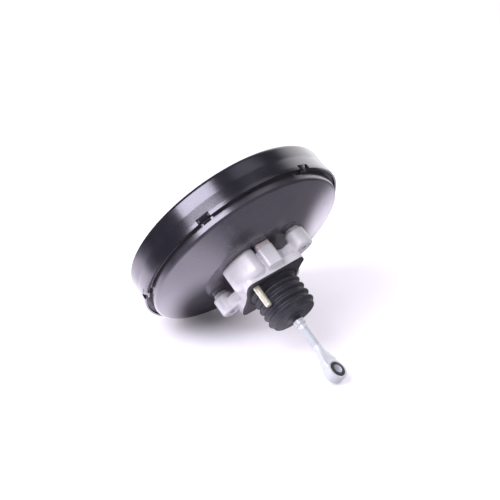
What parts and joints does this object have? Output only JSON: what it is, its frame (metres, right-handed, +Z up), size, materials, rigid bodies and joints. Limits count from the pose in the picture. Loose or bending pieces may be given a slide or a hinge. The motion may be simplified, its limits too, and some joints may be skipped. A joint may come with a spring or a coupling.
{
  "type": "brake booster",
  "caption": "Round vacuum brake booster with crimped steel shells, a cast spacer, studs, a folded rubber boot, an input rod with an eye, an output rod and a check valve.",
  "frame": {"origin": "centre of the bulkhead mounting face, on the booster axis", "axes": "+Y along the booster axis from the pedal side to the master cylinder side; +Z up towards the spacer's top column, across the flat of the mounting plate"},
  "size_m": [0.2692, 0.2791, 0.269],
  "materials": {
    "gloss_black": "gloss",
    "cast_aluminium": "satin cast",
    "zinc_cream": "satin zinc",
    "zinc_steel": "satin zinc",
    "spring_steel": "satin",
    "black_rubber": "matte",
    "gasket_rubber": "matte",
    "pad_board": "matte",
    "dark_plastic": "matte",
    "filter_foam": "matte"
  },
  "bodies": {
    "booster": {"rear_shell": "gloss_black", "front_shell": "gloss_black", "rear_stiffener": "zinc_steel", "front_stiffener": "zinc_steel", "bracket": "cast_aluminium", "column_pads": "pad_board", "gasket": "gasket_rubber", "bulkhead_studs": "zinc_cream", "cylinder_studs": "zinc_cream", "bracket_screws": "zinc_steel", "bracket_nuts": "zinc_steel", "neck_guide": "dark_plastic", "neck_seal": "black_rubber", "seal_ring": "zinc_steel", "diaphragm": "black_rubber", "boot": "black_rubber", "return_spring": "spring_steel", "front_seal": "black_rubber", "check_grommet": "black_rubber", "check_body": "dark_plastic", "check_spring": "spring_steel", "check_cap": "dark_plastic"},
    "power_piston": {"valve_body": "dark_plastic", "diaphragm_plate": "zinc_steel", "reaction_disc": "black_rubber", "push_rod": "zinc_steel", "push_rod_screw": "zinc_steel", "push_rod_cap": "zinc_steel", "poppet": "black_rubber", "poppet_ring": "zinc_steel", "poppet_spring": "spring_steel", "rod_spring": "spring_steel", "air_filter": "filter_foam", "silencer": "filter_foam", "tail_cap": "dark_plastic"},
    "plunger": {"plunger": "zinc_steel", "stop_key": "zinc_steel"},
    "input_rod": {"input_rod": "zinc_steel", "eye_bush": "black_rubber", "eye_sleeve": "zinc_steel", "spring_seat": "zinc_steel", "rod_sleeve": "zinc_steel"},
    "check_disc": {"check_disc": "black_rubber"}
  },
  "joints": [
    {"name": "power_piston_slide", "type": "slide", "parent": "booster", "child": "power_piston", "axis": [0, 1, 0], "range_m": [0, 0.03], "stiffness_N_per_m": 3000, "springref_m": -0.03, "deforming": ["return_spring", "diaphragm", "boot"]},
    {"name": "plunger_slide", "type": "slide", "parent": "power_piston", "child": "plunger", "axis": [0, 1, 0], "range_m": [0, 0.0015], "stiffness_N_per_m": 1500, "springref_m": -0.01, "deforming": ["poppet", "poppet_spring", "rod_spring"]},
    {"name": "input_rod_tilt", "type": "hinge", "parent": "plunger", "child": "input_rod", "pos_m": [0, 0.017, 0], "axis": [0.5299, 0, 0.848], "range_deg": [-3, 3], "stiffness_Nm_per_rad": 8},
    {"name": "check_disc_lift", "type": "slide", "parent": "booster", "child": "check_disc", "axis": [0, 1, 0], "range_m": [0, 0.0015], "stiffness_N_per_m": 60, "springref_m": -0.003, "deforming": ["check_spring"]}
  ]
}
